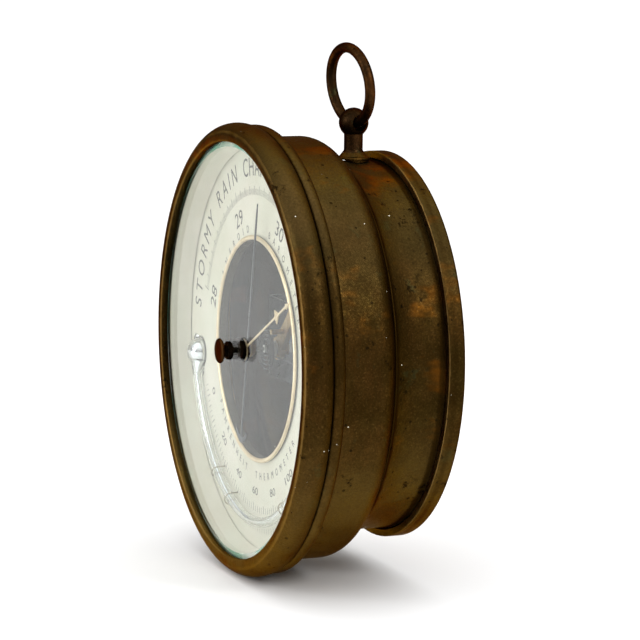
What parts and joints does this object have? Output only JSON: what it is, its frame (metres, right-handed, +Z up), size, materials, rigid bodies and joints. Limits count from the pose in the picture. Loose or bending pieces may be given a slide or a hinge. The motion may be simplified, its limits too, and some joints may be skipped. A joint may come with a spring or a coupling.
{
  "type": "aneroid barometer",
  "caption": "Round brass aneroid barometer: open silvered dial, curved thermometer, pointer, set hand with a front knob, capsule movement and a suspension ring.",
  "frame": {"origin": "centre of the flat face of the back cover, which rests on the wall", "axes": "+Z up towards the suspension ring, +Y from the dial into the wall, +X to a reader's right; the dial faces -Y"},
  "size_m": [0.1334, 0.0541, 0.1566],
  "materials": {
    "case_brass": "aged brown patina with worn bright edges",
    "dark_bronze": "near-black bronzed, worn reddish on the high spots",
    "cover_glass": "clear, polished, green at the edge",
    "tube_glass": "clear drawn tube",
    "silvered_dial": "matt silvered, yellowed with age, black engraving",
    "pale_brass": "satin, pale lacquered",
    "yellow_brass": "brushed, lacquered",
    "blued_steel": "polished and blued",
    "steel": "satin",
    "cast_iron": "black japanned casting",
    "nickel_silver": "satin, corrugated",
    "mercury": "bright liquid metal"
  },
  "bodies": {
    "case": {"bezel": "case_brass", "case_drum": "case_brass", "back_cover": "case_brass", "pendant": "dark_bronze", "cover_glass": "cover_glass", "thermometer_tube": "tube_glass", "dial": "silvered_dial", "sight_ring": "silvered_dial", "aperture_rim": "pale_brass", "tube_clip_1": "pale_brass", "tube_clip_2": "pale_brass", "tube_clip_3": "pale_brass", "dial_support_ring": "yellow_brass", "pendant_nut": "yellow_brass", "hairspring_stud": "yellow_brass", "base_plate": "yellow_brass", "capsule_nut": "yellow_brass", "rocker_cock_upper": "yellow_brass", "rocker_cock_lower": "yellow_brass", "arbor_cock": "yellow_brass", "arbor_pillar": "yellow_brass", "hairspring": "blued_steel", "main_spring": "blued_steel", "plate_screw_1": "steel", "plate_screw_2": "steel", "plate_screw_3": "steel", "bridge_screw": "steel", "spring_screw_1": "steel", "spring_screw_2": "steel", "cock_screw_upper": "steel", "cock_screw_lower": "steel", "arbor_cock_screw": "steel", "spring_bridge": "cast_iron", "capsule_front": "nickel_silver", "capsule_back": "nickel_silver", "thermometer_mercury": "mercury"},
    "suspension_ring": {"suspension_ring": "dark_bronze"},
    "set_hand": {"set_knob": "dark_bronze", "set_hand_boss": "dark_bronze", "set_hand": "pale_brass"},
    "pointer": {"pointer": "blued_steel", "pointer_collet": "yellow_brass", "hand_arbor": "steel"},
    "rocker": {"rocker_arbor": "steel"},
    "main_lever": {"main_lever": "yellow_brass", "lever_screw_1": "steel", "lever_screw_2": "steel", "lever_link": "steel"},
    "capsule_post": {"capsule_post": "steel", "knife_edge": "steel"},
    "chain": {"chain": "blued_steel"},
    "adjusting_screw": {"adjusting_screw": "yellow_brass"}
  },
  "joints": [
    {"name": "ring_swing", "type": "hinge", "parent": "case", "child": "suspension_ring", "pos_m": [0, -0.0121, 0.0663], "axis": [0.9885, 0.1513, 0], "range_deg": [-96, 84]},
    {"name": "set_hand_turn", "type": "hinge", "parent": "case", "child": "set_hand", "pos_m": [0, -0.0514, 0], "axis": [0, 1, 0], "continuous": true},
    {"name": "pointer_turn", "type": "hinge", "parent": "case", "child": "pointer", "pos_m": [0, -0.043, 0], "axis": [0, 1, 0], "range_deg": [-84.5, 65.5], "stiffness_Nm_per_rad": 0.002, "deforming": ["hairspring"]},
    {"name": "rocker_turn", "type": "hinge", "parent": "case", "child": "rocker", "pos_m": [0.033, -0.02135, 0], "axis": [0, 0, 1], "range_deg": [-11, 14]},
    {"name": "main_lever_tilt", "type": "hinge", "parent": "case", "child": "main_lever", "pos_m": [-0.024, -0.02365, 0], "axis": [0, 0, 1], "range_deg": [-1.6, 1.3], "deforming": ["main_spring"]},
    {"name": "capsule_travel", "type": "slide", "parent": "case", "child": "capsule_post", "axis": [0, 1, 0], "range_m": [-0.0007, 0.00055], "deforming": ["capsule_front"]},
    {"name": "chain_travel", "type": "slide", "parent": "case", "child": "chain", "axis": [1, 0, 0], "range_m": [-0.0026, 0.0033]},
    {"name": "adjusting_screw_turn", "type": "hinge", "parent": "case", "child": "adjusting_screw", "pos_m": [-0.013, -0.0015, 0.03625], "axis": [0, 1, 0], "continuous": true}
  ],
  "couplings": [
    {"joint": "rocker_turn", "follows": "pointer_turn", "ratio": -0.15714},
    {"joint": "main_lever_tilt", "follows": "pointer_turn", "ratio": 0.018487},
    {"joint": "capsule_travel", "follows": "pointer_turn", "m_per_rad": 0.0004437},
    {"joint": "chain_travel", "follows": "pointer_turn", "m_per_rad": -0.0022}
  ]
}
